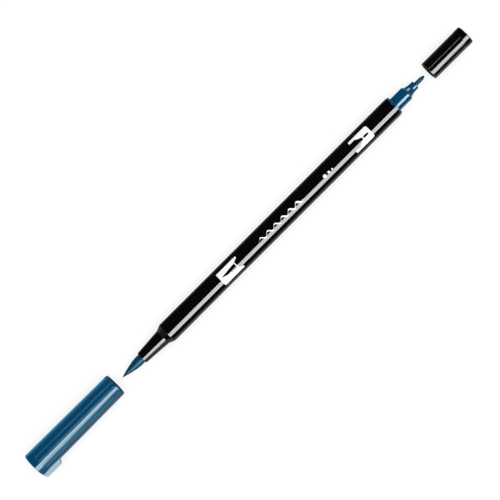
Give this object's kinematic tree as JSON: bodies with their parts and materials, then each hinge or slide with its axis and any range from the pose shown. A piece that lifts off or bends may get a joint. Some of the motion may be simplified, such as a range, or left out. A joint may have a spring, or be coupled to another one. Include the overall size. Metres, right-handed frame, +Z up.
{
  "type": "calligraphy marker",
  "caption": "Twin-tip calligraphy marker: straight glossy barrel, flexible brush nib at one end, fine nib at the other, and a finely ribbed pull-off cap for each.",
  "frame": {"origin": "on the pen's axis, at the middle of the length from brush point to fine point", "axes": "+X along the pen's axis towards the fine nib, +Z up with the pen lying flat; the brush cap's anti-roll lug is on the -Y side"},
  "size_m": [0.2755, 0.0141, 0.0124],
  "materials": {
    "black_plastic": "glossy black",
    "blue_plastic": "glossy deep blue",
    "brush_fibre": "bonded nylon fibre stained with blue ink",
    "fine_fibre": "hard bonded fibre stained with blue ink",
    "ink_fibre": "polyester fibre bundle soaked with blue ink",
    "film": "thin clear film",
    "liner_plastic": "natural white polypropylene"
  },
  "bodies": {
    "pen": {"barrel": "black_plastic", "ink_reservoir_core": "ink_fibre", "ink_reservoir_film": "film", "fine_tip_plug": "blue_plastic", "fine_nib": "fine_fibre"},
    "brush_tip": {"brush_nib": "brush_fibre"},
    "brush_cap": {"brush_cap_shell": "blue_plastic", "brush_cap_liner": "liner_plastic"},
    "fine_cap": {"fine_cap_shell": "black_plastic", "fine_cap_liner": "liner_plastic"}
  },
  "joints": [
    {"name": "brush_cap_pull", "type": "slide", "parent": "pen", "child": "brush_cap", "axis": [-1, 0, 0], "range_m": [-0.047, 0]},
    {"name": "fine_cap_pull", "type": "slide", "parent": "pen", "child": "fine_cap", "axis": [1, 0, 0], "range_m": [-0.0215, 0]},
    {"name": "brush_flex", "type": "hinge", "parent": "pen", "child": "brush_tip", "pos_m": [-0.0837, 0, 0], "axis": [0, 0, 1], "range_deg": [0, 25], "stiffness_Nm_per_rad": 0.01, "deforming": ["brush_nib"]}
  ]
}
